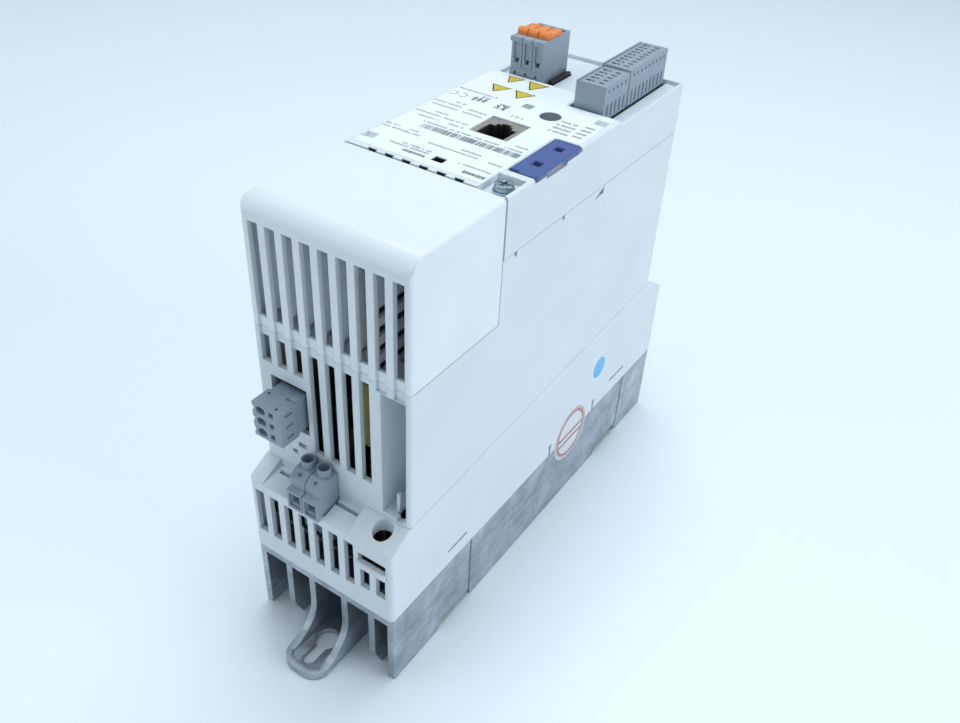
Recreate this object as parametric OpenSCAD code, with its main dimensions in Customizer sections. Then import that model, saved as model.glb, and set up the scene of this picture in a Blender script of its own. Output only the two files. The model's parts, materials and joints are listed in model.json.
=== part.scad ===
// Book-form motor drive lying on its mounting face.
// X runs across the width, Y from the line end to the motor end, Z out of the mounting face.
// The origin is the centre of the mounting face.

/* [Envelope] */
// Width of the housing
body_w = 70; // [69:0.5:74]
// Length of the lower housing, line end to motor end
lower_l = 223; // [220:1:230]
// Height of the front plate above the mounting face
front_z = 191; // [190:1:200]

/* [Housing] */
// Wall thickness of the plastic shells
wall = 2.2; // [1.8:0.1:2.4]
// Depth of the terminal shelf at the line end
shelf_l = 11; // [10.5:0.5:13]
// Depth of the sloping flare at the motor end
flare_l = 18.5; // [16:0.5:20]
// Length of the communication bay under the blind cover
bay_l = 51.7; // [51:0.1:53]
// Radius of the standing corners of the shells
corner_r = 2; // [1:0.25:2.5]
// Radius along the top edge of the blind cover
brow_r = 8; // [5:0.5:10]

/* [Vents] */
// Distance from one vent slot to the next
slot_pitch = 7.5; // [7.4:0.05:7.6]
// Width of a vent slot
slot_w = 4.4; // [3.8:0.1:4.6]

/* [Heat sink] */
// Thickness of a fin
fin_t = 3; // [2.5:0.25:3.5]
// Thickness of the mounting lugs
lug_t = 4; // [3.5:0.25:5]
// Reach of the lugs beyond the lower housing
lug_reach = 19.5; // [18:0.5:22]
// Thickness of the dished middle of the lugs
lug_floor_t = 2.4; // [2:0.1:3]

/* [Connectors] */
// Pole pitch of the two control plugs
control_pitch = 3.5; // [3.5:0.01:3.53]
// Pole pitch of the relay plug and the lever plug
power_pitch = 5.08; // [5:0.02:5.08]

/* [Hidden] */

// Planes and heights shared by the shells
half_w = body_w / 2;
near_y = -lower_l / 2;
far_y = lower_l / 2;
upper_y0 = near_y + shelf_l;
upper_y1 = far_y - flare_l;
bay_y = upper_y0 + bay_l;
field_y = upper_y0 + 133.3;
skirt_z = 37;
shelf_z = 73.5;
crease_near = 79;
crease_far = 88.5;
flare_z = 76.5;
bay_z = front_z - 50.4;
seam_z = front_z - 24;
field_z = front_z - 4;
rim_z = front_z - 2.4;
inner_x = half_w - wall;

// Gaps between shells
line_gap = 0.15;
front_gap = 0.1;
cover_gap = 0.5;
cover_side_gap = 1;
over = 1;

// Vent rows
slot_x0 = -31.6;
lower_slot_x0 = -32.1;
lower_slot_pitch = slot_pitch - 0.05;

// Heat sink
sink_x = half_w - 0.3;
sink_y = lower_l / 2 - 1;
plate_z0 = 32;
plate_z1 = 38;
lug_x = 1.5;
lug_half = 10;
lug_tip_y = lower_l / 2 + lug_reach;
flange_x = 8.4;
fillet_r = 15;
keyhole_y = lower_l / 2 + 1.2;
keyhole_r = 5;
slot_end_y = lower_l / 2 + 12.4;
slot_r = 2.75;

// Screws
earth_x = 25.8;
earth_y = upper_y0 - 4.1;
earth_r = 2;
access_r = 4;
panel_screw_x = 28.9;
panel_screw_y = upper_y0 + 59.6;
panel_screw_r = 1.5;
fit_gap = 0.05;

pocket_depth = 2.3;

// Terminals and plugs
mains_pitch = 7.62;
mains_x = [-9.6, -9.6 + mains_pitch];
mains_y = upper_y0 - 3.4;
mains_screw_r = 1.6;
relay_z = 102.6;
relay_x = -18.6;
lever_x = -19.4;
lever_y0 = upper_y0 + 151;
lever_y1 = upper_y0 + 172.5;
lever_top = front_z + 15;
lever_w = 3 * power_pitch + 0.4;
control_x0 = 13.1;
control_x1 = 26.3;
control_y = upper_y0 + 134.4;
control_top = front_z + 11.6;
plug_end = 1.45;
plug_base = field_z + 0.4;

// Boards
board_t = 1.6;
power_z = 54;
control_z = 171;

function up(d) = upper_y0 + d;
function crease_at(y) = crease_near
  + (crease_far - crease_near) * (y - upper_y0) / (upper_y1 - upper_y0);
function slot_x(i) = slot_x0 + i * slot_pitch;
function lower_slot_x(i) = lower_slot_x0 + i * lower_slot_pitch;
function plug_l(poles) = poles * control_pitch + 2 * plug_end;

// A block given by its lowest and highest corners
module block(low, high) {
  translate(low) cube(high - low);
}

// A YZ outline extruded from x0 to x1
module along_x(x0, x1) {
  translate([x0, 0, 0]) rotate([90, 0, 90]) linear_extrude(height = x1 - x0) children();
}

// An XZ outline extruded from y0 to y1
module along_y(y0, y1) {
  translate([0, y1, 0]) rotate([90, 0, 0]) linear_extrude(height = y1 - y0) children();
}

// A rectangle with four round corners
module round_rect(x0, y0, x1, y1, r) {
  translate([x0 + r, y0]) square([x1 - x0 - 2 * r, y1 - y0]);
  translate([x0, y0 + r]) square([x1 - x0, y1 - y0 - 2 * r]);
  for (x = [x0 + r, x1 - r], y = [y0 + r, y1 - r]) translate([x, y]) circle(r = r, $fn = 48);
}

// A rectangle whose two upper corners are round
module round_top_rect(x0, y0, x1, y1, r) {
  translate([x0, y0]) square([x1 - x0, y1 - y0 - r]);
  translate([x0 + r, y0]) square([x1 - x0 - 2 * r, y1 - y0]);
  for (x = [x0 + r, x1 - r]) translate([x, y1 - r]) circle(r = r, $fn = 48);
}

// A row of equal vent slots through a wall that faces Y
module slot_row(x_list, width, y0, y1, z0, z1) {
  for (x = x_list) block([x, y0, z0], [x + width, y1, z1]);
}

// ---------------------------------------------------------------- heat sink

// Side wall outline with its two raised notches along the bottom edge
module sink_wall_outline() {
  notch_h = 4.5;
  notch_run = 2;
  difference() {
    translate([-sink_y, 0]) square([2 * sink_y, skirt_z - 0.2]);
    for (notch = [[up(22), up(42.5)], [up(158.5), up(179)]])
      polygon([
        [notch[0] - notch_run, -over], [notch[0] - notch_run, 0], [notch[0], notch_h],
        [notch[1], notch_h], [notch[1] + notch_run, 0], [notch[1] + notch_run, -over]
      ]);
  }
}

// Fin outline with its lower corners taken back
module fin_outline(y0, y1) {
  back = 4;
  rise = 9;
  polygon([
    [y0, plate_z0], [y0, rise], [y0 + back, 0], [y1 - back, 0], [y1, rise], [y1, plate_z0]
  ]);
}

// Web beside the lug: it sweeps out from the fins down to the tongue
module lug_web_outline() {
  root = 18;
  difference() {
    translate([sink_y - root, 0]) square([root + fillet_r, plate_z0]);
    translate([sink_y + fillet_r, lug_t + fillet_r]) circle(r = fillet_r, $fn = 96);
    translate([sink_y, lug_t + fillet_r]) square([fillet_r + over, plate_z0]);
  }
}

// Tongue outline, drawn in by the rim's width for the dished middle
module tongue_outline(rim) {
  tip_r = 7 - rim;
  half = lug_half - rim;
  y0 = sink_y - 18 + rim;
  y1 = lug_tip_y - rim;
  translate([lug_x - half, y0]) square([2 * half, y1 - y0 - tip_r]);
  translate([lug_x - half + tip_r, y0]) square([2 * (half - tip_r), y1 - y0]);
  for (side = [-1, 1])
    translate([lug_x + side * (half - tip_r), y1 - tip_r]) circle(r = tip_r, $fn = 64);
}

module lug() {
  rim = 2.6;
  difference() {
    linear_extrude(height = lug_t) tongue_outline(0);
    translate([0, 0, lug_floor_t]) linear_extrude(height = lug_t) tongue_outline(rim);
  }
  for (side = [-1, 1]) {
    x = lug_x + side * flange_x;
    along_x(x - fin_t / 2, x + fin_t / 2) lug_web_outline();
  }
}

module heat_sink() {
  fins = [-19.3, lug_x - flange_x, lug_x, lug_x + flange_x, 23.6];
  short_end = 16;
  groove = 0.6;
  step_in = 2.4;
  color("#8f959b") difference() {
    union() {
      block([-sink_x, -sink_y, plate_z0], [sink_x, sink_y, skirt_z - 0.2]);
      block(
        [-sink_x + step_in, -sink_y + step_in, skirt_z - 0.4],
        [sink_x - step_in, sink_y - step_in, plate_z1]
      );
      for (side = [-1, 1]) {
        x = side * (sink_x - fin_t / 2);
        along_x(x - fin_t / 2, x + fin_t / 2) sink_wall_outline();
      }
      for (x = fins) {
        end = x == lug_x ? short_end : 0;
        along_x(x - fin_t / 2, x + fin_t / 2) fin_outline(-sink_y + end, sink_y - end);
      }
      lug();
      mirror([0, 1, 0]) lug();
    }
    for (side = [-1, 1], y = [up(42.5), up(181)])
      block([side * sink_x - groove, y - 0.7, -over], [side * sink_x + groove, y + 0.7, skirt_z + over]);
    // keyhole at the line end, round hole at the motor end
    translate([lug_x, -keyhole_y, -over]) cylinder(r = keyhole_r, h = lug_t + 2 * over, $fn = 64);
    translate([lug_x, -slot_end_y, -over]) cylinder(r = slot_r, h = lug_t + 2 * over, $fn = 48);
    block([lug_x - slot_r, -slot_end_y, -over], [lug_x + slot_r, -keyhole_y, lug_t + over]);
    translate([lug_x, slot_end_y - 4, -over]) cylinder(r = slot_r, h = lug_t + 2 * over, $fn = 48);
    // threaded holes for the earth screw, the spacers and the power module
    translate([earth_x, earth_y, plate_z0 - over])
      cylinder(r = earth_r + fit_gap, h = plate_z1 - plate_z0 + 2 * over, $fn = 48);
    for (p = spacer_places) translate([p[0], p[1], plate_z0 + 2]) cylinder(r = 1.5, h = 10, $fn = 32);
    for (p = module_screw_places)
      translate([p[0], p[1], plate_z0 + 1]) cylinder(r = 1.5, h = 10, $fn = 32);
  }
}

// ---------------------------------------------------------------- housings

module lower_outline() {
  polygon([
    [near_y, skirt_z], [near_y, shelf_z], [upper_y0, crease_near],
    [upper_y1, crease_far], [far_y, flare_z], [far_y, skirt_z]
  ]);
}

module lower_cavity_outline() {
  polygon([
    [near_y + wall, skirt_z - over], [near_y + wall, shelf_z - 2.6],
    [upper_y0 + wall + 1, crease_near - 5.4], [upper_y0 + wall + 1, crease_far + 20],
    [upper_y1 - wall - 1, crease_far + 20], [upper_y1 - wall - 1, crease_far - 2.6],
    [far_y - wall, flare_z - 2.6], [far_y - wall, skirt_z - over]
  ]);
}

shelf_x0 = -28;
shelf_x1 = 14;
bar_x0 = 19.4;
bar_x1 = 32.2;
terminal_x0 = -13.6;
terminal_x1 = 2.1;

module access_sleeve() {
  translate([earth_x, earth_y, shelf_z - 1]) cylinder(r = access_r + 1.4, h = 4, $fn = 64);
}

module tie_bar() {
  bar_r = 1.2;
  bar_z = 61.6;
  along_x(bar_x0 - 0.6, bar_x1 + 0.2) {
    translate([near_y - 0.6, bar_z]) circle(r = bar_r, $fn = 32);
    translate([near_y - 0.6, bar_z - bar_r]) square([2, 2 * bar_r]);
  }
}

module lower_housing() {
  color("#e8eaec") {
    difference() {
      union() {
        difference() {
          intersection() {
            along_x(-half_w, half_w) lower_outline();
            linear_extrude(height = front_z)
              round_rect(-half_w, near_y, half_w, far_y, corner_r);
          }
          along_x(-inner_x, inner_x) lower_cavity_outline();
        }
        intersection() {
          access_sleeve();
          along_x(-half_w, half_w) lower_outline();
        }
      }
      // recessed floor round the mains terminal, with its wedge-shaped side
      along_x(shelf_x0, shelf_x1)
        polygon([
          [near_y - over, shelf_z + 0.02], [near_y, shelf_z + 0.02],
          [upper_y0, crease_near - 3], [upper_y0, front_z], [near_y - over, front_z]
        ]);
      block([-26, up(-3.4), 60], [shelf_x1 + 0.4, up(-1.9), front_z]);
      block([terminal_x0 - 0.2, up(-9.7), 60], [terminal_x1 + 0.2, up(-0.1), front_z]);
      translate([earth_x, earth_y, 40]) cylinder(r = access_r, h = 60, $fn = 64);
      // line-end vents
      slot_row([for (i = [0:6]) lower_slot_x(i)], slot_w, near_y - over, near_y + wall + over, 46.8, 69.2);
      slot_row([for (i = [7:8]) lower_slot_x(i)], slot_w, near_y - over, near_y + wall + over, 48.6, 58.6);
      block([bar_x0, near_y - over, 60.8], [bar_x1, near_y + wall + over, 67]);
      // motor-end vents, and the opening for the motor terminal
      slot_row([for (i = [0:8]) lower_slot_x(i)], slot_w, far_y - wall - over, far_y + over, 42, 50);
      block([motor_x0 - 0.2, far_y - wall - over, 55.4], [motor_x1 + 0.2, far_y + over, 71]);
      for (side = [-1, 1]) side_snaps(side);
    }
    tie_bar();
  }
}

// Slits and windows along one side of the skirt
module side_snaps(side) {
  x0 = side > 0 ? inner_x - over : -half_w - over;
  x1 = side > 0 ? half_w + over : -inner_x + over;
  for (d = [105.8, 147]) {
    block([x0, up(d) - 0.7, skirt_z - over], [x1, up(d) + 0.7, skirt_z + 5]);
    translate([x0, up(d), skirt_z + 5]) rotate([0, 90, 0]) cylinder(r = 1.3, h = x1 - x0, $fn = 32);
  }
  block([x0, up(25), 43.6], [x1, up(38.4), 45]);
  block([x0, up(163.2), 44], [x1, up(178.5), 45.4]);
}

module main_outline() {
  polygon([
    [upper_y0, crease_near + line_gap], [upper_y0, bay_z], [bay_y, bay_z], [bay_y, seam_z],
    [upper_y1, seam_z], [upper_y1, crease_far + line_gap]
  ]);
}

module main_cavity_outline() {
  floor_t = 2;
  polygon([
    [upper_y0 + wall, crease_near - 20], [upper_y0 + wall, bay_z - floor_t],
    [bay_y + floor_t, bay_z - floor_t], [bay_y + floor_t, seam_z + over],
    [upper_y1 - wall, seam_z + over], [upper_y1 - wall, crease_near - 20]
  ]);
}

recess_x0 = 22.6;
recess_x1 = inner_x;
recess_back = up(17);

// Walls of the deep cable recess beside the vents
module recess_walls() {
  t = 1.4;
  block([recess_x0 - t, upper_y0 + wall - 0.1, crease_near + 1], [recess_x0, recess_back + t, bay_z - 1]);
  block([recess_x0 - t, recess_back, crease_near + 1], [inner_x + 0.1, recess_back + t, bay_z - 1]);
  // foot of the recess, with the clip post
  block([recess_x0 - t, upper_y0 + wall - 0.1, crease_near + 1], [27.6, recess_back + t, crease_near + 2.6]);
  block([26.6, up(3), crease_near + 1], [27.9, up(4.6), crease_near + 11]);
}

// Louvred wall and a row of studs that stand in the communication bay
module bay_louvre() {
  t = 1.6;
  x = 18.4;
  gap_pitch = 7.3;
  difference() {
    block([x, up(2.6), bay_z - 0.2], [x + t, bay_y - 4, front_z - 7]);
    for (i = [0:3])
      block(
        [x - over, up(3.6), bay_z + 1.2 + i * gap_pitch],
        [x + t + over, bay_y - 7, bay_z + 5 + i * gap_pitch]
      );
  }
  for (i = [1:6])
    translate([slot_x(i) - 0.6, up(10.5), bay_z - 0.2]) cylinder(r = 1.7, h = 3.4, $fn = 32);
}

module main_housing() {
  y0 = upper_y0 - over;
  y1 = upper_y0 + wall + over;
  tab_back = 1;
  groove = 0.3;
  color("#e8eaec") difference() {
    union() {
      difference() {
        intersection() {
          along_x(-half_w, half_w) main_outline();
          linear_extrude(height = front_z)
            round_rect(-half_w, upper_y0, half_w, upper_y1, corner_r);
        }
        along_x(-inner_x, inner_x) main_cavity_outline();
      }
      recess_walls();
      bay_louvre();
    }
    // line-end vents, with the lands above them set back behind the ribs
    slot_row([for (i = [0:2]) slot_x(i)], slot_w, y0, y1, 126, 137);
    slot_row([for (i = [3:6]) slot_x(i)], slot_w, y0, y1, 92.3, 137);
    slot_row([for (i = [0:8]) slot_x(i)], slot_w, y0, upper_y0 + tab_back, 136.9, bay_z + over);
    block([relay_opening_x0, y0, relay_z - 3], [relay_opening_x1, y1, relay_z + 18]);
    block([-17.4, y0, 91.4], [-13.6, y1, 93.6]);
    block([-20.6, y0, 86.8], [-18.2, y1, 88.8]);
    block([recess_x0, y0, crease_near + 2.6], [recess_x1 + 0.4, y1, 136.6]);
    block([29.2, y0, crease_near + 1], [31.6, y1, crease_near + 6]);
    // shadow lines under and behind the cover's side edges
    for (side = [-1, 1]) {
      block(
        [side * half_w - groove, upper_y0 + 2, bay_z - groove],
        [side * half_w + groove, bay_y, bay_z + over]
      );
      block(
        [side * half_w - 0.8, bay_y - over, bay_z - groove],
        [side * half_w + 0.8, bay_y + 0.4, seam_z + over]
      );
    }
    // vents in the bay floor, the bay wall and the motor end
    for (i = [0:6])
      block([slot_x(i + 1) - 2, up(14), bay_z - 3], [slot_x(i + 1) + 1.4, bay_y - 8, bay_z + 0.01]);
    for (i = [0:4])
      block([-24, bay_y - over, bay_z + 5 + i * 4], [-2, bay_y + 3, bay_z + 7 + i * 4]);
    slot_row([for (i = [0:8]) slot_x(i)], slot_w, upper_y1 - wall - over, upper_y1 + over, 112, 154);
    for (side = [-1, 1]) seam_windows(side);
  }
}

relay_opening_x0 = -28.3;
relay_opening_x1 = -11.3;

// Small openings where the front panel's snaps show along one side
module seam_windows(side) {
  x0 = side > 0 ? inner_x - over : -half_w - over;
  x1 = side > 0 ? half_w + over : -inner_x + over;
  for (d = [60.4, 93.8]) block([x0, up(d) - 0.8, seam_z - 1.8], [x1, up(d) + 0.8, seam_z + over]);
  along_x(x0, x1) polygon([
    [up(118.5), seam_z - 3.6], [up(125.8), seam_z - 0.4], [up(125.8), seam_z - 3.4]
  ]);
}

// ---------------------------------------------------------------- front panel

module panel_openings() {
  z0 = field_z - 4;
  z1 = front_z + over;
  block([-5.9, up(88.8), z0], [11.1, up(105.7), z1]);
  translate([11.6, up(119.1), z0]) cylinder(r = 4.35, h = z1 - z0, $fn = 64);
  block([-2.4, up(119.8), z0], [1.9, up(124), z1]);
  for (i = [0:3]) block([27, up(108 + i * 3.4), z0], [31.2, up(109.4 + i * 3.4), z1]);
  block([-1.7, up(59.2), z0], [3.3, up(63), z1]);
  // sloping finger marks
  for (mark = [[27.6, 123.6], [-33.4, 59.8]])
    along_x(mark[0], mark[0] + 5.2) polygon([
      [up(mark[1]), front_z + over], [up(mark[1]), front_z - 0.2],
      [up(mark[1] + 4), front_z - 1.7], [up(mark[1] + 5), front_z + over]
    ]);
  // pocket of the panel screw, and the notches along the bay edge
  block([22.6, bay_y, front_z - pocket_depth], [33.6, up(66.2), z1]);
  for (i = [0:5]) {
    x = -24.6 + i * slot_pitch;
    block([x, bay_y, front_z - 7], [x + 4, bay_y + 2.3, z1]);
  }
}

module_y0 = up(70);
module_y1 = up(102.6);
module_x0 = 23.7;

module module_pocket() {
  block([module_x0 - 0.3, module_y0 - 0.3, front_z - 1.8], [half_w + over, module_y1 + 0.3, front_z + over]);
  block([module_x0 + 1.2, module_y0 + 1.5, control_z + 3], [half_w - 2.6, module_y1 - 1.5, front_z + over]);
  block([half_w - 2, module_y0 + 7.4, front_z - 3], [half_w + over, module_y1 - 10.6, front_z + over]);
}

platform_x1 = 11.4;
platform_y1 = up(147.6);
lever_open_x0 = -28;
lever_open_x1 = -9.2;

module front_panel() {
  y0 = bay_y + cover_side_gap;
  edge_r = 1.2;
  color("#eceef0") difference() {
    union() {
      difference() {
        intersection() {
          along_y(y0, upper_y1)
            round_top_rect(-half_w, seam_z + line_gap, half_w, front_z, edge_r);
          union() {
            along_x(-half_w, half_w) polygon([
              [y0, seam_z], [y0, front_z], [field_y, front_z], [field_y, rim_z],
              [upper_y1, rim_z], [upper_y1, seam_z]
            ]);
            block([-half_w, y0, seam_z], [platform_x1, platform_y1, front_z]);
          }
          linear_extrude(height = front_z)
            round_rect(-half_w, y0 - 10, half_w, upper_y1, corner_r);
        }
        along_x(-inner_x, inner_x) polygon([
          [y0 + wall, seam_z - over], [y0 + wall, front_z - 2], [field_y - 2, front_z - 2],
          [field_y - 2, field_z - 2], [upper_y1 - wall, field_z - 2], [upper_y1 - wall, seam_z - over]
        ]);
        difference() {
          block([-half_w + 1.6, field_y, field_z], [half_w - 1.6, upper_y1 - 1.6, front_z + over]);
          block([-half_w, field_y - over, seam_z], [platform_x1, platform_y1, front_z + 2 * over]);
        }
      }
      // blind boss under the panel screw, and the walls of the module shaft
      block([22.2, bay_y + cover_side_gap, front_z - 15], [inner_x + 0.1, up(66.6), front_z - 1.9]);
      block([module_x0, module_y0 + 0.3, control_z + 4], [inner_x + 0.1, module_y1 - 0.3, front_z - 1.9]);
    }
    panel_openings();
    module_pocket();
    translate([panel_screw_x, panel_screw_y, front_z - 14])
      cylinder(r = panel_screw_r + fit_gap, h = 14, $fn = 48);
    block(
      [panel_screw_x - 2.8, panel_screw_y - 2.8, front_z - 11],
      [panel_screw_x + 6, panel_screw_y + 2.8, front_z - 8.4]
    );
    block([lever_open_x0, lever_y0 - 0.4, field_z - 3], [lever_open_x1, lever_y1 + 1.4, front_z + over]);
    block(
      [control_x0 - 0.7, control_y - 0.4, field_z - 3],
      [control_x1 + 0.7, upper_y1 - 1.7, front_z + over]
    );
  }
}

// ---------------------------------------------------------------- blind cover

module cover_side_outline() {
  y1 = bay_y;
  z0 = bay_z + front_gap;
  translate([upper_y0 + brow_r, front_z - brow_r]) circle(r = brow_r, $fn = 96);
  translate([upper_y0, z0]) square([y1 - upper_y0, front_z - brow_r - z0]);
  translate([upper_y0 + brow_r, z0]) square([y1 - upper_y0 - brow_r, front_z - z0]);
}

module blind_cover() {
  z0 = bay_z + front_gap;
  rib_depth = 7.2;
  slot_z0 = bay_z + 4.4;
  slot_z1 = front_z - 8.4;
  slots = [for (i = [0:8]) slot_x(i)];
  tab_back = 1;
  side_r = 2;
  color("#f0f1f2") difference() {
    union() {
      difference() {
        intersection() {
          along_x(-half_w, half_w) cover_side_outline();
          linear_extrude(height = front_z)
            round_rect(-half_w, upper_y0, half_w, bay_y + 20, corner_r);
          along_y(upper_y0, bay_y) round_top_rect(-half_w, z0, half_w, front_z, side_r);
        }
        // hollow under a two-millimetre skin that follows the round brow
        along_x(-inner_x, inner_x) {
          translate([upper_y0 + brow_r, front_z - brow_r]) circle(r = brow_r - 2, $fn = 96);
          translate([upper_y0 + wall, z0 - over])
            square([bay_y - upper_y0, front_z - brow_r - z0 + over]);
          translate([upper_y0 + brow_r, z0 - over])
            square([bay_y - upper_y0, front_z - 2 - z0 + over]);
        }
      }
      // deep ribs behind the first six slots
      for (i = [0:5]) {
        x = slot_x(i) + slot_w;
        block(
          [x + 0.5, upper_y0 + 1, slot_z0 + 4],
          [x + slot_pitch - slot_w - 0.5, upper_y0 + rib_depth, slot_z1 + 2]
        );
      }
    }
    slot_row(slots, slot_w, upper_y0 - over, upper_y0 + wall + over, slot_z0, slot_z1);
    slot_row(slots, slot_w, upper_y0 - over, upper_y0 + tab_back, z0 - over, slot_z0 + over);
  }
}

// ---------------------------------------------------------------- labels and small front parts

label_t = 0.15;

module front_label() {
  color("#f6f7f8") difference() {
    translate([0, 0, front_z]) linear_extrude(height = label_t)
      difference() {
        union() {
          round_rect(-half_w + 2, bay_y + 3.6, half_w - 2, field_y - 0.6, 1.5);
          round_rect(-half_w + 2, field_y - 10, platform_x1 - 0.8, platform_y1 - 0.8, 1.5);
        }
        translate([21.8, bay_y]) square([20, up(66.9) - bay_y]);
        translate([module_x0 - 1, module_y0 - 5]) square([20, module_y1 - module_y0 + 6]);
      }
    panel_openings();
  }
}

// Round seal across the seam; its lower half is thicker, down to the heat sink
module seal_label() {
  seal_r = 14.5;
  color("#e2e2e4") difference() {
    translate([sink_x, up(125.3), skirt_z + 0.5]) rotate([0, 90, 0])
      cylinder(r = seal_r, h = half_w + label_t - sink_x, $fn = 96);
    block([sink_x - over, up(100), skirt_z - 0.4], [half_w, up(150), skirt_z + 2 * seal_r]);
  }
}

module dot_label() {
  color("#4f9fd0") translate([half_w, up(148.2), 62.5]) rotate([0, 90, 0])
    cylinder(r = 5.5, h = label_t, $fn = 48);
}

module memory_module() {
  lid_t = 1.8;
  clear = 0.2;
  foot_z = control_z + 4.2;
  color("#44599c") difference() {
    union() {
      translate([0, 0, front_z - lid_t + 0.1]) linear_extrude(height = lid_t + 0.3)
        difference() {
          round_rect(module_x0, module_y0, half_w - 0.05, module_y1, 2.2);
          translate([module_x0 - over, module_y0 - over]) square([5, 2.2]);
        }
      block(
        [module_x0 + 1.2 + clear, module_y0 + 1.5 + clear, foot_z],
        [half_w - 2.6 - clear, module_y1 - 1.5 - clear, front_z - 0.5]
      );
    }
    for (d = [80, 95])
      block([27.7, up(d) - 1.8, front_z - 3], [31.2, up(d) + 1.8, front_z + 2]);
    block([half_w - 1.6, module_y0 + 8, front_z - 3], [half_w + over, module_y1 - 11, front_z - 0.9]);
  }
}

module round_window() {
  color("#4d565c") translate([11.6, up(119.1), front_z - 1.6]) cylinder(r = 4.3, h = 1.5, $fn = 64);
}

module square_window() {
  color("#8c949a") block([-2.3, up(119.9), front_z - 1.6], [1.8, up(123.9), front_z - 0.2]);
}

module light_pipes() {
  color("#c8ccb8") for (i = [0:3])
    block([27.1, up(108.1 + i * 3.4), control_z + board_t], [31.1, up(109.3 + i * 3.4), front_z - 0.1]);
}

// ---------------------------------------------------------------- network jack

jack_x0 = -5.7;
jack_x1 = 10.9;
jack_y0 = up(89);
jack_y1 = up(105.5);
jack_open_x0 = -3.2;
jack_open_x1 = 8.4;
jack_open_y0 = up(90.4);
jack_open_y1 = up(99.4);

module jack_opening(grow, z0, z1) {
  block([jack_open_x0 - grow, jack_open_y0 - grow, z0], [jack_open_x1 + grow, jack_open_y1 + grow, z1]);
  block([-0.7 - grow, jack_open_y0, z0], [5.9 + grow, jack_open_y1 + 1.9 + grow, z1]);
  block([0.8 - grow, jack_open_y0, z0], [4.4 + grow, jack_open_y1 + 3.4 + grow, z1]);
}

module jack_shell() {
  z0 = control_z + board_t;
  t = 0.4;
  color("#c9c6bd") difference() {
    block([jack_x0, jack_y0, z0], [jack_x1, jack_y1, front_z - 0.4]);
    block([jack_x0 + t, jack_y0 + t, z0 - over], [jack_x1 - t, jack_y1 - t, front_z - 0.4 - t]);
    jack_opening(0.2, front_z - 3, front_z + over);
  }
}

module jack_insert() {
  z0 = control_z + board_t;
  t = 0.5;
  color("#1d1f22") difference() {
    block([jack_x0 + t, jack_y0 + t, z0], [jack_x1 - t, jack_y1 - t, front_z - 0.9]);
    jack_opening(0, z0 + 2.5, front_z + over);
  }
}

module jack_contacts() {
  contact_pitch = 1.02;
  first = (jack_open_x0 + jack_open_x1) / 2 - 3.5 * contact_pitch;
  color("#d4af5a") for (i = [0:7])
    along_x(first + i * contact_pitch - 0.18, first + i * contact_pitch + 0.18) polygon([
      [jack_open_y0, control_z + 4.2], [jack_open_y0, front_z - 3.4], [jack_open_y0 + 0.5, front_z - 3.2],
      [jack_open_y0 + 3.1, control_z + 6.6], [jack_open_y0 + 3.1, control_z + 4.2]
    ]);
}

// ---------------------------------------------------------------- relay plug

relay_w = 13.6;
relay_h = 3 * power_pitch + 0.6;
relay_front = up(-13.2);

module relay_plug() {
  x0 = relay_x - relay_w / 2;
  x1 = relay_x + relay_w / 2;
  z0 = relay_z;
  z1 = relay_z + relay_h;
  color("#858d99") difference() {
    union() {
      block([x0, relay_front, z0], [x1, up(-4.5), z1]);
      block([x0 + 0.7, up(-4.6), z0 + 0.4], [x1 - 0.7, up(1.8), z1 - 0.4]);
    }
    for (i = [0:2]) {
      z = z0 + 0.3 + (i + 0.5) * power_pitch;
      // oval wire entry
      along_y(relay_front - over, relay_front + 8) {
        for (dx = [-0.7, 0.7]) translate([x0 + 4.1 + dx, z]) circle(r = 1.5, $fn = 32);
        translate([x0 + 3.4, z - 1.5]) square([1.4, 3]);
      }
      // release slot and side slots
      block([x0 + 8, relay_front - over, z - 1], [x0 + 10, relay_front + 6, z + 1.1]);
      block([x1 - 0.8, up(-10.6), z - 0.4], [x1 + over, up(-7.2), z + 0.5]);
      block([x0 - over, relay_front - over, z - 1], [x0 + 0.6, relay_front + 1.2, z + 0.8]);
    }
    for (p = [[x0 + 2.2, up(-6.4)], [x1 - 3.1, up(-11.6)]])
      translate([p[0], p[1], z1 - 0.8]) cylinder(r = 0.7, h = 2, $fn = 24);
    block([x1 - 4.2, up(-5.6), z1 - 0.9], [x1 + over, up(-4.4), z1 + over]);
    // room for the header's pins and walls
    block([x0 + 1.9, up(-3.4), z0 + 1.6], [x1 - 1.9, up(2.8), z1 - 1.6]);
  }
}

module relay_header() {
  x0 = relay_x - relay_w / 2 + 2.4;
  x1 = relay_x + relay_w / 2 - 2.4;
  color("#2b2d30") {
    block([x0, up(2.2), relay_z + 0.4], [x1, up(12.4), relay_z + relay_h - 0.4]);
    for (i = [0:2]) {
      z = relay_z + 0.3 + (i + 0.5) * power_pitch;
      block([relay_x - 0.5, up(-3), z - 0.5], [relay_x + 0.5, up(2.3), z + 0.5]);
    }
  }
}

// ---------------------------------------------------------------- control plugs

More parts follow.
